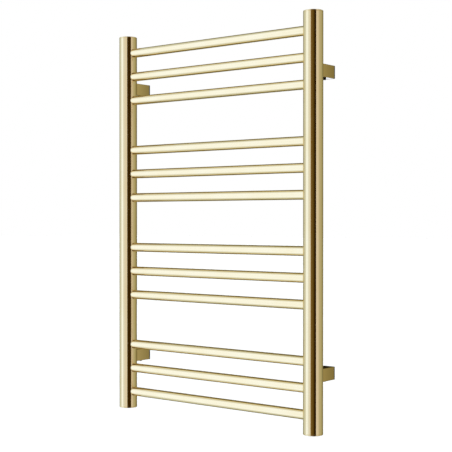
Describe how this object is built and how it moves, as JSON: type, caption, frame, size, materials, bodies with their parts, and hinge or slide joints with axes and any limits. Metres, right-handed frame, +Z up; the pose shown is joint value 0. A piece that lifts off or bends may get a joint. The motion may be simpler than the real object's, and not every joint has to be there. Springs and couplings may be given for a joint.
{
  "type": "towel warmer rack",
  "caption": "Wall-hung ladder towel warmer in brushed brass: round posts joined by round cross tubes in spaced groups, on square wall arms.",
  "frame": {"origin": "on the wall's surface, at the centre of the four wall fixing holes", "axes": "+X to the right and +Z up as a person facing the rail sees it, +Y into the wall"},
  "size_m": [0.52, 0.075, 0.8],
  "materials": {
    "brass_tube": "brushed",
    "brass_arm": "brushed",
    "brass_fitting": "brushed",
    "plain_brass": "machined",
    "dark_plate": "matt black",
    "black_screw": "black oxide",
    "steel_screw": "satin",
    "nylon": "matt",
    "rubber_seal": "matt"
  },
  "bodies": {
    "wall_brackets": {"wall_plate_upper_left": "dark_plate", "wall_plate_upper_right": "dark_plate", "wall_plate_lower_left": "dark_plate", "wall_plate_lower_right": "dark_plate", "arm_upper_left": "brass_arm", "arm_upper_right": "brass_arm", "arm_lower_left": "brass_arm", "arm_lower_right": "brass_arm", "clamp_block_upper_left": "plain_brass", "clamp_block_upper_right": "plain_brass", "clamp_block_lower_left": "plain_brass", "clamp_block_lower_right": "plain_brass", "plate_screw_upper_left": "brass_arm", "plate_screw_upper_right": "brass_arm", "plate_screw_lower_left": "brass_arm", "plate_screw_lower_right": "brass_arm"},
    "rail": {"bar_01": "brass_tube", "bar_02": "brass_tube", "bar_03": "brass_tube", "bar_04": "brass_tube", "bar_05": "brass_tube", "bar_06": "brass_tube", "bar_07": "brass_tube", "bar_08": "brass_tube", "bar_09": "brass_tube", "bar_10": "brass_tube", "bar_11": "brass_tube", "bar_12": "brass_tube", "post_left": "brass_tube", "post_right": "brass_tube", "cap_top_left": "brass_fitting", "cap_top_right": "brass_fitting", "cap_bottom_left": "brass_fitting", "cap_bottom_right": "brass_fitting", "bleed_plug": "brass_fitting", "bleed_seal": "rubber_seal", "bleed_o_ring": "rubber_seal", "blanking_plug": "brass_fitting", "blanking_o_ring": "rubber_seal", "post_stud_upper_left": "plain_brass", "post_stud_upper_right": "plain_brass", "post_stud_lower_left": "plain_brass", "post_stud_lower_right": "plain_brass"},
    "bleed_screw": {"bleed_screw": "steel_screw"},
    "clamp_screw_upper_left": {"clamp_screw_upper_left": "black_screw", "clamp_pad_upper_left": "nylon"},
    "clamp_screw_upper_right": {"clamp_screw_upper_right": "black_screw", "clamp_pad_upper_right": "nylon"},
    "clamp_screw_lower_left": {"clamp_screw_lower_left": "black_screw", "clamp_pad_lower_left": "nylon"},
    "clamp_screw_lower_right": {"clamp_screw_lower_right": "black_screw", "clamp_pad_lower_right": "nylon"}
  },
  "joints": [
    {"name": "rail_slide", "type": "slide", "parent": "wall_brackets", "child": "rail", "axis": [0, -1, 0], "range_m": [0, 0.01]},
    {"name": "bleed_screw_turn", "type": "hinge", "parent": "rail", "child": "bleed_screw", "pos_m": [-0.241, -0.056, 0.4], "axis": [0, 0, 1], "range_deg": [0, 360]},
    {"name": "clamp_screw_upper_left_turn", "type": "hinge", "parent": "wall_brackets", "child": "clamp_screw_upper_left", "pos_m": [-0.241, -0.017, 0.2765], "axis": [0, 0, -1], "range_deg": [0, 360]},
    {"name": "clamp_screw_upper_right_turn", "type": "hinge", "parent": "wall_brackets", "child": "clamp_screw_upper_right", "pos_m": [0.241, -0.017, 0.2765], "axis": [0, 0, -1], "range_deg": [0, 360]},
    {"name": "clamp_screw_lower_left_turn", "type": "hinge", "parent": "wall_brackets", "child": "clamp_screw_lower_left", "pos_m": [-0.241, -0.017, -0.3015], "axis": [0, 0, -1], "range_deg": [0, 360]},
    {"name": "clamp_screw_lower_right_turn", "type": "hinge", "parent": "wall_brackets", "child": "clamp_screw_lower_right", "pos_m": [0.241, -0.017, -0.3015], "axis": [0, 0, -1], "range_deg": [0, 360]}
  ]
}
